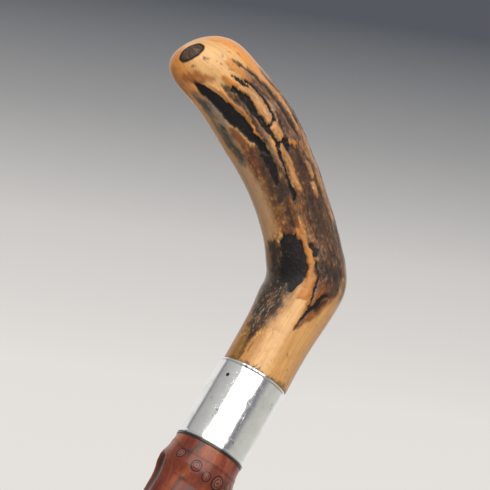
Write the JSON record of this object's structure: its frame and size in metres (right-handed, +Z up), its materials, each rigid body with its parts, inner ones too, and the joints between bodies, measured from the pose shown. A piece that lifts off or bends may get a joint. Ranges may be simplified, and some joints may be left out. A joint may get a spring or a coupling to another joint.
{
  "type": "walking cane",
  "caption": "Country walking cane with a bent stag antler handle, a plain silver collar, a root-end bamboo shaft and a brass ferrule with an iron tip.",
  "frame": {"origin": "centre of the face that the tip stands on, on the shaft's axis", "axes": "+Z up the shaft towards the handle, -X towards the nose of the handle"},
  "size_m": [0.1002, 0.028, 0.9029],
  "materials": {
    "antler": "polished antler, tan with black-brown bark",
    "silver": "polished silver with fine wear",
    "dark_steel": "dark",
    "black_horn": "polished black horn",
    "steel_rod": "plain",
    "hardwood": "bare",
    "bamboo": "red-brown lacquer, glossy",
    "brass": "worn satin",
    "iron": "worn"
  },
  "bodies": {
    "root": {"antler_handle": "antler", "silver_collar": "silver", "collar_pin": "dark_steel", "horn_spacer": "black_horn", "joining_rod": "steel_rod", "hardwood_bush": "hardwood", "bamboo_shaft": "bamboo", "tip_plug": "hardwood", "ferrule": "brass", "ferrule_tip": "iron", "ferrule_pins": "brass"}
  },
  "joints": []
}
